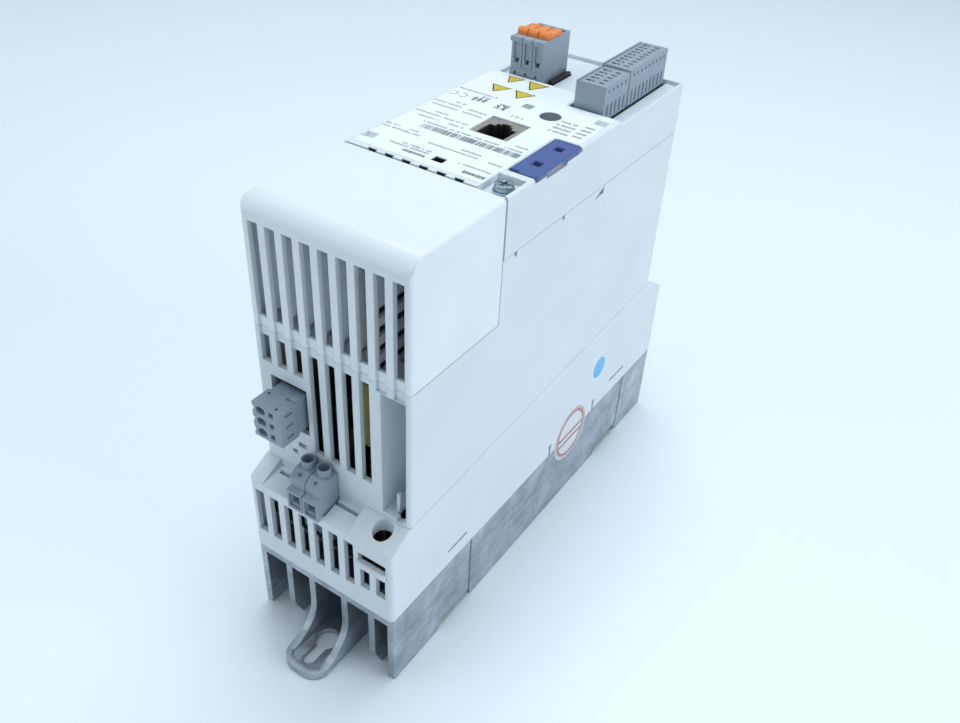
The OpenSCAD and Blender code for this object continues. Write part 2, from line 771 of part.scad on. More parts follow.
// One push-in plug; y0 is its line-end face
module control_plug(y0, poles, z1) {
  y1 = y0 + plug_l(poles);
  z0 = plug_base;
  color("#87909b") difference() {
    block([control_x0, y0, z0], [control_x1, y1, z1]);
    for (i = [0:poles - 1]) {
      y = y0 + plug_end + (i + 0.5) * control_pitch;
      block([control_x0 + 2.6, y - 0.9, z1 - 3], [control_x0 + 4.6, y + 0.9, z1 + over]);
      block([control_x0 + 5, y - 0.7, z1 - 1.4], [control_x0 + 6.4, y + 0.7, z1 + over]);
      block([control_x0 + 8.2, y - 0.8, z1 - 2.4], [control_x0 + 10.4, y + 0.8, z1 + over]);
      block([control_x1 - 0.6, y - 0.5, z1 - 3.2], [control_x1 + over, y + 0.5, z1 - 1.9]);
      block([control_x1 - 0.6, y - 0.55, z0 + 1], [control_x1 + over, y + 0.55, z0 + 6.6]);
    }
    block([control_x0 + 0.9, y0 - over, z1 - 0.5], [control_x0 + 1.6, y1 + over, z1 + over]);
    // underside pocket for the header
    block([control_x0 + 2, y0 + 1, z0 - over], [control_x1 - 2, y1 - 1, z0 + 6]);
  }
}

nine_y = control_y + plug_l(5) + 0.8;

module five_pole_plug() {
  control_plug(control_y, 5, control_top - 0.8);
}

module nine_pole_plug() {
  control_plug(nine_y, 9, control_top);
}

module control_header() {
  z0 = control_z + board_t;
  y1 = nine_y + plug_l(9);
  color("#3a3e44") {
    block([control_x0 - 0.4, control_y, z0], [control_x1 + 0.4, y1, field_z + 0.2]);
    for (i = [0:4]) control_pin(control_y + plug_end + (i + 0.5) * control_pitch);
    for (i = [0:8]) control_pin(nine_y + plug_end + (i + 0.5) * control_pitch);
  }
}

module control_pin(y) {
  x = (control_x0 + control_x1) / 2;
  block([x - 0.4, y - 0.4, field_z], [x + 0.4, y + 0.4, plug_base + 5]);
}

// ---------------------------------------------------------------- lever plug

lever_slot_y0 = up(154.2);
lever_slot_y1 = up(166.4);
lever_travel = 1.5;
lever_body_w = power_pitch - 0.5;

function lever_centre(i) = lever_x + (i - 1) * power_pitch;

module lever_plug() {
  x0 = lever_x - lever_w / 2;
  x1 = lever_x + lever_w / 2;
  z0 = plug_base;
  color("#87909b") difference() {
    union() {
      block([x0, lever_y0, z0], [x1, lever_y1, lever_top]);
      block([x0 - 0.6, lever_y0 - 0.5, lever_top - 2.2], [x1 - 3, lever_y0 + 1, lever_top - 0.2]);
      along_x(x0, x1) polygon([
        [lever_y0, z0 + 5], [lever_y0 - 0.8, z0 + 3.6], [lever_y0 - 0.8, z0], [lever_y0, z0]
      ]);
    }
    for (i = [0:2]) {
      x = lever_centre(i);
      block([x - 0.9, lever_y0 - 2, z0 + 7.6], [x + 0.9, lever_y0 + 4, z0 + 9.2]);
      block([x - 1.4, lever_y0 - 2, z0 + 9.1], [x + 1.4, lever_y0 + 0.9, lever_top - 2.4]);
      translate([x, lever_y0 - 1.2, z0 + 3.6]) rotate([-90, 0, 0]) cylinder(r = 0.6, h = 1.4, $fn = 24);
      // lever shaft and wire entry
      block(
        [x - lever_body_w / 2 - 0.1, lever_slot_y0 - 0.1, lever_top - 6],
        [x + lever_body_w / 2 + 0.1, lever_slot_y1 + 0.1, lever_top + over]
      );
      block([x - 1.6, lever_y1 - 4.6, lever_top - 6], [x + 1.6, lever_y1 - 1.4, lever_top + over]);
    }
    for (side = [-0.5, 0.5])
      block(
        [lever_x + side * power_pitch - 0.15, lever_y0 - 2, z0 + 6],
        [lever_x + side * power_pitch + 0.15, lever_y0 + 1.2, lever_top + over]
      );
    block([x0 + 1.4, lever_y0 + 1.4, z0 - over], [x1 - 1.4, lever_y1 - 1.4, z0 + 7]);
  }
}

// One orange release lever, with a finger ridge along its front
module lever(i) {
  x = lever_centre(i);
  z0 = lever_top - 3.6;
  color("#ee7f2d") along_x(x - lever_body_w / 2, x + lever_body_w / 2) polygon([
    [lever_slot_y0, z0], [lever_slot_y0, lever_top + 1.6], [lever_slot_y0 + 0.9, lever_top + 2.6],
    [lever_slot_y0 + 2.6, lever_top + 2.6], [lever_slot_y0 + 3.4, lever_top + 1.6],
    [lever_slot_y1 - 0.6, lever_top + 1.6], [lever_slot_y1, lever_top + 1], [lever_slot_y1, z0]
  ]);
}

module lever_header() {
  z0 = control_z + board_t;
  x0 = lever_x - lever_w / 2;
  x1 = lever_x + lever_w / 2;
  color("#26282b") {
    block([x0 - 0.2, lever_y0, z0], [x1 + 0.2, lever_y1 + 1, field_z + 0.2]);
    block([x1 + 0.1, lever_y0 + 6, field_z - 2], [x1 + 1.8, lever_y1 + 0.8, field_z + 1.4]);
    for (i = [0:2]) {
      x = lever_centre(i);
      block([x - 0.5, lever_y0 + 10, field_z], [x + 0.5, lever_y0 + 11, plug_base + 6]);
    }
  }
}

// ---------------------------------------------------------------- mains terminal

mains_foot = power_z + board_t;
cage_rest_z = 73.4;
cage_travel = 1.5;
cage_h = 8.2;
cage_w = 6;
mains_seat_z = cage_rest_z + cage_h + cage_travel + 1.1;

// Stepped side outline of one pole: foot, wire funnel, marking face, sloping shoulder
module mains_side_outline() {
  polygon([
    [up(-4.5), mains_foot], [up(-4.5), 70], [up(-9.5), 70], [up(-9.5), 73.95],
    [up(-11.2), 73.95], [up(-11.2), 72.2], [up(-12.5), 72.2],
    [up(-12.5), 81.1], [up(-10.2), 81.8], [up(-10.2), 86.2],
    [up(-6.6), 88.6], [up(-0.3), 88.6], [up(-0.3), mains_foot]
  ]);
}

module mains_terminal() {
  half = mains_pitch / 2;
  collar_r = 2.75;
  color("#868d98") difference() {
    union() {
      for (x = mains_x) {
        along_x(x - half + 0.15, x + half - 0.15) mains_side_outline();
        translate([x, mains_y, 88]) cylinder(r = collar_r, h = 4, $fn = 48);
      }
      along_x(mains_x[0] - half + 0.15, mains_x[1] + half - 0.15) polygon([
        [up(-4.8), mains_foot], [up(-4.8), 70.4], [up(-9.2), 70.4], [up(-9.2), 73.4],
        [up(-0.6), 73.4], [up(-0.6), mains_foot]
      ]);
    }
    for (x = mains_x) {
      translate([x, mains_y, mains_seat_z]) cylinder(r = 2.3, h = 10, $fn = 48);
      translate([x, mains_y, mains_seat_z - 2]) cylinder(r = mains_screw_r + fit_gap, h = 3, $fn = 48);
      // cage room and wire funnel
      block(
        [x - cage_w / 2 - 0.1, up(-6.6), cage_rest_z - 0.2],
        [x + cage_w / 2 + 0.1, up(-0.9), mains_seat_z - 1]
      );
      block([x - 2.3, up(-13), 74.6], [x + 2.3, up(-6.5), 79.4]);
      block([x - 2.7, up(-13), 73.3], [x + 2.7, up(-11.3), 79.9]);
      // arrow dent on the shoulder
      along_x(x - 0.8, x + 0.8) polygon([
        [up(-9.3), 86.2], [up(-8.1), 88.4], [up(-7.5), 86.8]
      ]);
    }
  }
}

// Wire cage of one pole, standing open
module mains_cage(x) {
  y0 = up(-6.4);
  y1 = up(-1.1);
  z0 = cage_rest_z;
  half = cage_w / 2;
  t = 0.8;
  color("#c9a45c") difference() {
    block([x - half, y0, z0], [x + half, y1, z0 + cage_h]);
    block([x - half + t, y0 - over, z0 + 1], [x + half - t, y1 + over, z0 + cage_h - 2]);
    translate([x, mains_y, z0 + cage_h - 3]) cylinder(r = mains_screw_r + fit_gap, h = 5, $fn = 48);
  }
}

// Slotted screw; its axis is vertical
module slotted_screw(x, y, z_head, head_r, head_h, shank_r, shank_l) {
  difference() {
    union() {
      translate([x, y, z_head]) cylinder(r = head_r, h = head_h, $fn = 48);
      translate([x, y, z_head - shank_l]) cylinder(r = shank_r, h = shank_l + 0.1, $fn = 48);
    }
    block(
      [x - head_r - over, y - 0.4, z_head + head_h - 1],
      [x + head_r + over, y + 0.4, z_head + head_h + over]
    );
  }
}

module mains_screw(x) {
  color("#b9bcc0") slotted_screw(x, mains_y, mains_seat_z, 1.95, 3, mains_screw_r, 4.9);
}

// ---------------------------------------------------------------- motor terminal

motor_x0 = -22;
motor_x1 = 18;
motor_poles = 5;

module motor_terminal() {
  y1 = far_y + 0.8;
  z0 = mains_foot;
  z1 = 70.8;
  pitch = (motor_x1 - motor_x0) / motor_poles;
  color("#868d98") difference() {
    block([motor_x0, far_y - 14, z0], [motor_x1, y1, z1]);
    for (i = [0:motor_poles - 1]) {
      x = motor_x0 + (i + 0.5) * pitch;
      block([x - 1.9, y1 - 8, z0 + 2.5], [x + 1.9, y1 + over, z0 + 6.3]);
      block([x - 1.2, y1 - 6, z0 + 9], [x + 1.2, y1 + over, z0 + 12.6]);
    }
    for (i = [1:motor_poles - 1])
      block(
        [motor_x0 + i * pitch - 0.2, y1 - 0.8, z0 + 1],
        [motor_x0 + i * pitch + 0.2, y1 + over, z1 + over]
      );
  }
}

// ---------------------------------------------------------------- screws

washer_t = 0.8;
panel_seat_z = front_z - pocket_depth;
earth_head_z = plate_z1 + washer_t;

// Pan head with a cross recess and a slot
module combination_head(r, h) {
  difference() {
    cylinder(r = r, h = h, $fn = 64);
    for (turn = [0, 90]) rotate([0, 0, turn]) block([-0.55, -2, h - 1.5], [0.55, 2, h + over]);
    block([-r - over, -0.45, h - 0.9], [r + over, 0.45, h + over]);
  }
}

module panel_screw() {
  color("#aab6bd") translate([panel_screw_x, panel_screw_y, panel_seat_z + washer_t]) {
    combination_head(3.5, 2.2);
    translate([0, 0, -9.4]) cylinder(r = panel_screw_r, h = 9.5, $fn = 48);
  }
}

module panel_washer() {
  color("#b4bcc0") translate([panel_screw_x, panel_screw_y, panel_seat_z]) difference() {
    cylinder(r = 4, h = washer_t - 0.02, $fn = 64);
    translate([0, 0, -over]) cylinder(r = panel_screw_r + 0.2, h = 4, $fn = 48);
  }
}

module panel_nut() {
  color("#c9a45c") difference() {
    block(
      [panel_screw_x - 2.7, panel_screw_y - 2.7, front_z - 10.9],
      [panel_screw_x + 2.7, panel_screw_y + 2.7, front_z - 8.5]
    );
    translate([panel_screw_x, panel_screw_y, front_z - 12])
      cylinder(r = panel_screw_r + fit_gap, h = 6, $fn = 48);
  }
}

module earth_screw() {
  color("#aab6bd") translate([earth_x, earth_y, earth_head_z]) {
    combination_head(3.4, 2.6);
    translate([0, 0, -6.4]) cylinder(r = earth_r, h = 6.5, $fn = 48);
  }
}

module earth_washer() {
  color("#b4bcc0") translate([earth_x, earth_y, plate_z1]) difference() {
    cylinder(r = 3.8, h = washer_t - 0.02, $fn = 64);
    translate([0, 0, -over]) cylinder(r = earth_r + 0.2, h = 4, $fn = 48);
  }
}

// ---------------------------------------------------------------- boards and what is on them

spacer_places = [[-27, up(8)], [27, up(10)], [-27, up(178)], [27, up(178)]];
module_screw_places = [[0, up(94)], [0, up(152)]];
power_y0 = near_y + 4.4;
power_y1 = far_y - 4.4;
riser_x = -29.6;
relay_board_y = up(12.4);
filter_x = 18.6;

module power_board() {
  color("#2f6b45") difference() {
    block([-31, power_y0, power_z], [31, power_y1, power_z + board_t]);
    for (p = spacer_places) translate([p[0], p[1], power_z - over]) cylinder(r = 1.7, h = 4, $fn = 32);
    translate([earth_x, earth_y, power_z - over]) cylinder(r = 6.2, h = 4, $fn = 64);
  }
}

module board_spacers() {
  color("#c9a45c") for (p = spacer_places) difference() {
    translate([p[0], p[1], plate_z1]) cylinder(r = 2.8, h = power_z - plate_z1, $fn = 6);
    translate([p[0], p[1], power_z - 8]) cylinder(r = 1.5, h = 9, $fn = 32);
  }
}

module board_screws() {
  color("#b9bcc0") for (p = spacer_places) {
    translate([p[0], p[1], power_z + board_t]) cylinder(r = 2.7, h = 1.8, $fn = 48);
    translate([p[0], p[1], power_z - 6]) cylinder(r = 1.45, h = 6 + board_t + 0.1, $fn = 32);
  }
}

module control_board() {
  color("#2f6b45") difference() {
    block([-31, bay_y + 5, control_z], [31, upper_y1 - 4, control_z + board_t]);
    block([22, bay_y, control_z - over], [34, up(67.4), control_z + 4]);
  }
}

module riser_board() {
  color("#2f6b45") block([riser_x, up(62), power_z + board_t], [riser_x + board_t, up(118), control_z]);
}

module relay_board() {
  color("#2f6b45") block([-31, relay_board_y, power_z + board_t], [-11, relay_board_y + board_t, 134]);
}

module filter_board() {
  color("#2f6b45") block([filter_x, up(4), power_z + board_t], [filter_x + board_t, up(44), 134]);
}

module relay() {
  color("#3b4046") block([-27, relay_board_y + board_t, 104], [-11, relay_board_y + board_t + 13, 120]);
}

module film_capacitors() {
  color("#8f8a3a") {
    block([filter_x - 12, up(5), 104], [filter_x, up(17), 132]);
    block([filter_x - 12, up(22), 104], [filter_x, up(40), 132]);
  }
}

// Bulk capacitors standing on the power board, with a crimp groove near the foot
module bulk_capacitors() {
  can_r = 12.5;
  can_h = 50;
  color("#30343c") for (x = [-13.5, 13.5], d = [62, 90])
    translate([x, up(d), power_z + board_t]) rotate_extrude($fn = 96)
      polygon([
        [0, 0], [can_r, 0], [can_r, 4], [can_r - 0.8, 4.8], [can_r, 5.6],
        [can_r, can_h - 1], [can_r - 1, can_h], [0, can_h]
      ]);
}

choke_y = up(30);
choke_z = power_z + board_t + 23.5;
core_r = 14;

module choke_core() {
  color("#3f4448") translate([-6, choke_y, choke_z]) rotate([0, 90, 0])
    rotate_extrude($fn = 96) translate([core_r, 0]) circle(r = 4.2, $fn = 48);
}

// Two windings of eight turns, left and right on the core
module choke_winding() {
  color("#a8642e") translate([-6, choke_y, choke_z]) rotate([0, 90, 0])
    for (half = [0, 180], turn = [-42:12:42])
      rotate([0, 0, half + turn]) translate([core_r, 0, 0]) rotate([90, 0, 0])
        rotate_extrude($fn = 48) translate([5.2, 0]) circle(r = 0.6, $fn = 24);
}

module choke_base() {
  color("#2b2d30") {
    block([-14, choke_y - 16, power_z + board_t], [2, choke_y + 16, power_z + board_t + 2]);
    for (y = [choke_y - 15, choke_y + 13])
      block([-7, y, power_z + board_t + 1.9], [-5, y + 2, power_z + board_t + 6]);
  }
}

module transformer_core() {
  z0 = power_z + board_t;
  color("#3f4448") difference() {
    block([-14, up(122), z0 + 6], [14, up(150), z0 + 34]);
    block([-9, up(121), z0 + 12], [9, up(151), z0 + 28]);
  }
}

module transformer_coil() {
  z0 = power_z + board_t;
  color("#c7b24c") {
    block([-8.8, up(124), z0 + 12.2], [8.8, up(148), z0 + 27.8]);
    block([-12, up(124.5), z0], [12, up(147.5), z0 + 6]);
  }
}

module power_module() {
  z0 = plate_z1 + 0.5;
  color("#2a2c2f") difference() {
    union() {
      block([-22, up(98), z0], [22, up(148), z0 + 11.5]);
      for (p = module_screw_places) block([-7, p[1] - 6, z0], [7, p[1] + 6, z0 + 4]);
      for (i = [0:9]) block([-18 + i * 4, up(100), z0 + 11.4], [-17 + i * 4, up(101), power_z]);
      for (i = [0:9]) block([-18 + i * 4, up(145), z0 + 11.4], [-17 + i * 4, up(146), power_z]);
    }
    for (p = module_screw_places) translate([p[0], p[1], z0 - over]) cylinder(r = 1.9, h = 7, $fn = 32);
  }
}

module thermal_pad() {
  color("#d9d2c4") block([-22, up(98.5), plate_z1], [22, up(147.5), plate_z1 + 0.5]);
}

module module_screws() {
  z0 = plate_z1 + 4.5;
  color("#b9bcc0") for (p = module_screw_places) {
    translate([p[0], p[1], z0]) cylinder(r = 3.2, h = 2.4, $fn = 48);
    translate([p[0], p[1], plate_z0 + 2]) cylinder(r = 1.45, h = z0 - plate_z0 - 1.9, $fn = 32);
  }
}

module insulating_sheet() {
  color("#e5e0c8") difference() {
    block([-30, power_y0 + 16, power_z - 3], [30, power_y1 - 14, power_z - 2.6]);
    block([-23, up(86), power_z - 5], [23, up(160), power_z]);
    for (p = spacer_places) translate([p[0], p[1], power_z - 5]) cylinder(r = 3.4, h = 5, $fn = 32);
  }
}

heat_sink();
lower_housing();
main_housing();
front_panel();
blind_cover();
front_label();
seal_label();
dot_label();
memory_module();
round_window();
square_window();
light_pipes();
jack_shell();
jack_insert();
jack_contacts();
relay_plug();
relay_header();
five_pole_plug();
nine_pole_plug();
control_header();
lever_plug();
lever(0);  // lever_a
lever(1);  // lever_b
lever(2);  // lever_c
lever_header();
mains_terminal();
mains_cage(mains_x[0]);  // mains_cage_a
mains_cage(mains_x[1]);  // mains_cage_b
mains_screw(mains_x[0]);  // mains_screw_a
mains_screw(mains_x[1]);  // mains_screw_b
motor_terminal();
panel_screw();
panel_washer();
panel_nut();
earth_screw();
earth_washer();
power_board();
control_board();
riser_board();
relay_board();
filter_board();
board_spacers();
board_screws();
bulk_capacitors();
choke_core();
choke_winding();
choke_base();
film_capacitors();
relay();
transformer_core();
transformer_coil();
power_module();
thermal_pad();
module_screws();
insulating_sheet();
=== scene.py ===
import json
import math
import random

import bmesh
import bpy
from mathutils import Matrix, Vector


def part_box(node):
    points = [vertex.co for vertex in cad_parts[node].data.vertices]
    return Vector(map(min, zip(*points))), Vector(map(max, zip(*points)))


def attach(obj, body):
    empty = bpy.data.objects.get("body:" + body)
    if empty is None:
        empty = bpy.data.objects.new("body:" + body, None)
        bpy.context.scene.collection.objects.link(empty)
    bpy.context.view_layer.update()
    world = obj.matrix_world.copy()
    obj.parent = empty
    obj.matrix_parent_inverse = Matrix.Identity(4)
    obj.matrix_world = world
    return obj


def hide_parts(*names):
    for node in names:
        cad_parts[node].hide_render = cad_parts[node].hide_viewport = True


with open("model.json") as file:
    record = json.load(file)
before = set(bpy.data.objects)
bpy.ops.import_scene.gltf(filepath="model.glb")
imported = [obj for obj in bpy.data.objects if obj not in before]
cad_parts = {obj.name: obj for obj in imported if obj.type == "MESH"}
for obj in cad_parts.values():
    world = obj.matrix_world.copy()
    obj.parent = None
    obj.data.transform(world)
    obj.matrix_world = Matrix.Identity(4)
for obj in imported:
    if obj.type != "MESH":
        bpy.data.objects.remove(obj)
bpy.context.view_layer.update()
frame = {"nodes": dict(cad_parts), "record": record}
nodes = frame["nodes"]

MM = 0.001


def linear(hex_colour):
    """An sRGB hex colour as linear RGBA."""
    channels = [int(hex_colour[i : i + 2], 16) / 255 for i in (1, 3, 5)]
    return [c / 12.92 if c <= 0.04045 else ((c + 0.055) / 1.055) ** 2.4 for c in channels] + [1]


# ---------------------------------------------------------------- materials


def add(tree, kind, settings=None, links=None):
    """Adds one node with its settings and its links."""
    made = tree.nodes.new(kind)
    for name, value in (settings or {}).items():
        if isinstance(name, int) or name in made.inputs:
            made.inputs[name].default_value = value
        else:
            setattr(made, name, value)
    for name, source in (links or {}).items():
        tree.links.new(source, made.inputs[name])
    return made


def finish_base(name, edge_mm):
    """A new material with its shader, object coordinates in millimetres and rounded edges."""
    material = bpy.data.materials.new(name)
    material.use_nodes = True
    tree = material.node_tree
    tree.nodes.clear()
    shader = add(tree, "ShaderNodeBsdfPrincipled")
    add(tree, "ShaderNodeOutputMaterial", links={"Surface": shader.outputs["BSDF"]})
    place = add(tree, "ShaderNodeTexCoord")
    scaled = add(
        tree,
        "ShaderNodeMapping",
        {"Scale": (1000, 1000, 1000)},
        {"Vector": place.outputs["Object"]},
    )
    edge = add(tree, "ShaderNodeBevel", {"samples": 6, "Radius": edge_mm * MM})
    return material, tree, shader, scaled.outputs["Vector"], edge.outputs["Normal"]


def colour_drift(tree, shader, where, light, dark, spread_mm, detail=3):
    """Lets the colour wander slowly between two close tones."""
    cloud = add(
        tree,
        "ShaderNodeTexNoise",
        {"Scale": 1 / spread_mm, "Detail": detail, "Roughness": 0.55},
        {"Vector": where},
    )
    ramp = add(tree, "ShaderNodeValToRGB", links={"Fac": cloud.outputs["Fac"]})
    ramp.color_ramp.elements[0].position = 0.3
    ramp.color_ramp.elements[1].position = 0.7
    ramp.color_ramp.elements[0].color = linear(dark)
    ramp.color_ramp.elements[1].color = linear(light)
    tree.links.new(ramp.outputs["Color"], shader.inputs["Base Color"])
    return cloud


def moulded_plastic(name, light, dark, rough, edge_mm=0.35, grain_mm=0.45, grain_depth=0.012):
    """Injection-moulded plastic: spark-eroded grain in the tool, slightly uneven sheen."""
    material, tree, shader, where, edge = finish_base(name, edge_mm)
    shader.inputs["IOR"].default_value = 1.5
    colour_drift(tree, shader, where, light, dark, 38)
    sheen = add(
        tree,
        "ShaderNodeTexNoise",
        {"Scale": 1 / 14, "Detail": 4, "Roughness": 0.6},
        {"Vector": where},
    )
    gloss = add(
        tree,
        "ShaderNodeMapRange",
        {"To Min": rough - 0.05, "To Max": rough + 0.07},
        {"Value": sheen.outputs["Fac"]},
    )
    tree.links.new(gloss.outputs["Result"], shader.inputs["Roughness"])
    grain = add(
        tree,
        "ShaderNodeTexNoise",
        {"Scale": 1 / grain_mm, "Detail": 2, "Roughness": 0.5},
        {"Vector": where},
    )
    bump = add(
        tree,
        "ShaderNodeBump",
        {"Strength": 0.35, "Distance": grain_depth * MM},
        {"Height": grain.outputs["Fac"], "Normal": edge},
    )
    tree.links.new(bump.outputs["Normal"], shader.inputs["Normal"])
    return material


def gloss_film(name, light, dark, rough):
    """Smooth film or lens: no grain, a soft even reflection."""
    material, tree, shader, where, edge = finish_base(name, 0.1)
    shader.inputs["IOR"].default_value = 1.49
    colour_drift(tree, shader, where, light, dark, 25)
    smear = add(tree, "ShaderNodeTexNoise", {"Scale": 1 / 9, "Detail": 3}, {"Vector": where})
    gloss = add(
        tree,
        "ShaderNodeMapRange",
        {"To Min": rough, "To Max": rough + 0.08},
        {"Value": smear.outputs["Fac"]},
    )
    tree.links.new(gloss.outputs["Result"], shader.inputs["Roughness"])
    tree.links.new(edge, shader.inputs["Normal"])
    return material


def cast_aluminium(name):
    """Die-cast and extruded aluminium: grey skin with draw lines along Y, blotches and dull streaks."""
    material, tree, shader, where, edge = finish_base(name, 0.5)
    shader.inputs["Metallic"].default_value = 1.0
    blotch = add(
        tree,
        "ShaderNodeTexNoise",
        {"Scale": 1 / 16, "Detail": 6, "Roughness": 0.65, "Distortion": 0.4},
        {"Vector": where},
    )
    drawn = add(
        tree,
        "ShaderNodeMapping",
        {"Scale": (1 / 0.7, 1 / 45, 1 / 0.7)},
        {"Vector": where},
    )
    lines = add(
        tree,
        "ShaderNodeTexNoise",
        {"Scale": 1.0, "Detail": 5, "Roughness": 0.7},
        {"Vector": drawn.outputs["Vector"]},
    )
    mixed = add(
        tree,
        "ShaderNodeMix",
        {"data_type": "FLOAT", 0: 0.4},
        {2: blotch.outputs["Fac"], 3: lines.outputs["Fac"]},
    )
    ramp = add(tree, "ShaderNodeValToRGB", links={"Fac": mixed.outputs[0]})
    ramp.color_ramp.elements[0].position = 0.36
    ramp.color_ramp.elements[1].position = 0.66
    ramp.color_ramp.elements[0].color = linear("#8d959d")
    ramp.color_ramp.elements[1].color = linear("#cdd5dc")
    tree.links.new(ramp.outputs["Color"], shader.inputs["Base Color"])
    gloss = add(
        tree,
        "ShaderNodeMapRange",
        {"From Min": 0.3, "From Max": 0.7, "To Min": 0.58, "To Max": 0.42},
        {"Value": mixed.outputs[0]},
    )
    tree.links.new(gloss.outputs["Result"], shader.inputs["Roughness"])
    skin = add(
        tree,
        "ShaderNodeTexNoise",
        {"Scale": 1 / 0.6, "Detail": 3, "Roughness": 0.6},
        {"Vector": where},
    )
    relief = add(
        tree,
        "ShaderNodeMix",
        {"data_type": "FLOAT", 0: 0.5},
        {2: skin.outputs["Fac"], 3: lines.outputs["Fac"]},
    )
    bump = add(
        tree,
        "ShaderNodeBump",
        {"Strength": 0.6, "Distance": 0.04 * MM},
        {"Height": relief.outputs[0], "Normal": edge},
    )
    tree.links.new(bump.outputs["Normal"], shader.inputs["Normal"])
    return material


def plated_metal(name, light, dark, rough, edge_mm=0.15):
    """Plated or bare sheet and turned metal: bright, with fine turning marks and cloudy plating."""
    material, tree, shader, where, edge = finish_base(name, edge_mm)
    shader.inputs["Metallic"].default_value = 1.0
    cloud = colour_drift(tree, shader, where, light, dark, 2.2, 4)
    gloss = add(
        tree,
        "ShaderNodeMapRange",
        {"To Min": rough - 0.06, "To Max": rough + 0.1},
        {"Value": cloud.outputs["Fac"]},
    )
    tree.links.new(gloss.outputs["Result"], shader.inputs["Roughness"])
    marks = add(
        tree,
        "ShaderNodeTexNoise",
        {"Scale": 1 / 0.25, "Detail": 2},
        {"Vector": where},
    )
    bump = add(
        tree,
        "ShaderNodeBump",
        {"Strength": 0.25, "Distance": 0.01 * MM},
        {"Height": marks.outputs["Fac"], "Normal": edge},
    )
    tree.links.new(bump.outputs["Normal"], shader.inputs["Normal"])
    return material


def circuit_laminate(name):
    """Glass-fibre laminate under green solder resist: copper tracks show as darker squares and lines."""
    material, tree, shader, where, edge = finish_base(name, 0.1)
    shader.inputs["IOR"].default_value = 1.5
    shader.inputs["Roughness"].default_value = 0.35
    tracks = add(
        tree,
        "ShaderNodeTexBrick",
        {
            "Scale": 1 / 6,
            "Mortar Size": 0.05,
            "Color1": linear("#23392f"),
            "Color2": linear("#1f332a"),
            "Mortar": linear("#182822"),
        },
        {"Vector": where},
    )
    tree.links.new(tracks.outputs["Color"], shader.inputs["Base Color"])
    bump = add(
        tree,
        "ShaderNodeBump",
        {"Strength": 0.3, "Distance": 0.03 * MM},
        {"Height": tracks.outputs["Fac"], "Normal": edge},
    )
    tree.links.new(bump.outputs["Normal"], shader.inputs["Normal"])
    return material


# Light grey ABS blend of the shells: fine-textured, almost white
shell_abs = moulded_plastic("light_grey_abs_shell", "#dce2e7", "#d7dde2", 0.50, 0.5)
# The cover is moulded from a slightly lighter batch
cover_abs = moulded_plastic("light_grey_abs_cover", "#e5eaee", "#e0e5e9", 0.46, 0.6)
# Polyamide of the plugs and terminals: bluish mid grey, satin, slightly glossier on the ribs
plug_polyamide = moulded_plastic("grey_polyamide", "#98a4b1", "#8f9ba9", 0.42, 0.25, 0.3, 0.008)
# Black glass-filled polyamide of headers and inner parts; it also colours the sheet and blocks that paint
# shade in the bay and the panel's openings
black_polyamide = moulded_plastic("black_polyamide", "#27292c", "#202225", 0.48, 0.2, 0.3)
# Blue ABS of the memory module: smooth, a little satin
module_abs = moulded_plastic("blue_abs", "#4a609a", "#425790", 0.38, 0.35, 0.4, 0.008)
# Orange acetal of the release levers
lever_acetal = moulded_plastic("orange_acetal", "#ef8d45", "#e58238", 0.36, 0.3, 0.35, 0.008)
# Polyester labels: smooth, semi-gloss, white
label_film = gloss_film("polyester_label", "#eff4f7", "#ebf0f3", 0.30)
seal_film = gloss_film("paper_seal", "#e0e2e4", "#d8dadd", 0.45)
dot_film = gloss_film("blue_sticker", "#66b8e8", "#5cafe2", 0.35)
smoked_lens = gloss_film("smoked_lens", "#4b555d", "#424b53", 0.22)
grey_lens = gloss_film("grey_lens", "#99a2a8", "#8e979d", 0.30)
milk_lens = gloss_film("light_pipe_polycarbonate", "#b9bdb4", "#adb1a8", 0.30)
# Printing inks on the labels: matt grey, black and a signal yellow
grey_ink = gloss_film("grey_label_ink", "#9aa3aa", "#8d969d", 0.42)
black_ink = gloss_film("black_label_ink", "#5a646c", "#4d565e", 0.42)
yellow_ink = gloss_film("yellow_label_ink", "#d6c440", "#c6b32f", 0.40)
red_ink = gloss_film("red_seal_ink", "#b9908f", "#ab8180", 0.45)
aluminium_casting = cast_aluminium("cast_aluminium")
zinc_plate = plated_metal("zinc_plated_steel", "#c3d3dc", "#93a9b6", 0.32)
tin_plate = plated_metal("tin_plated_steel", "#d2cfc6", "#b9b6ad", 0.32)
brass_metal = plated_metal("brass", "#c9ab6c", "#a98b4f", 0.32)
gold_plate = plated_metal("gold_plated_bronze", "#e0bf6e", "#cfa955", 0.25, 0.05)
copper_enamel = plated_metal("enamelled_copper", "#b8703a", "#96562a", 0.35, 0.1)
laminate = circuit_laminate("solder_resist_laminate")
sleeve_film = gloss_film("capacitor_sleeve", "#2d323b", "#262b33", 0.30)
film_case = moulded_plastic("olive_film_capacitor_case", "#8d8838", "#7f7a30", 0.40, 0.5)
ferrite = moulded_plastic("sintered_ferrite", "#34383c", "#2b2f33", 0.60, 0.4, 0.2, 0.02)
coil_tape = gloss_film("polyester_tape", "#cdb64f", "#c0a943", 0.30)
thermal_rubber = moulded_plastic("silicone_pad", "#d9d2c4", "#cfc8ba", 0.70, 0.2)
insulating_paper = moulded_plastic("insulating_paper", "#c9c4ae", "#bfb9a1", 0.65, 0.1)

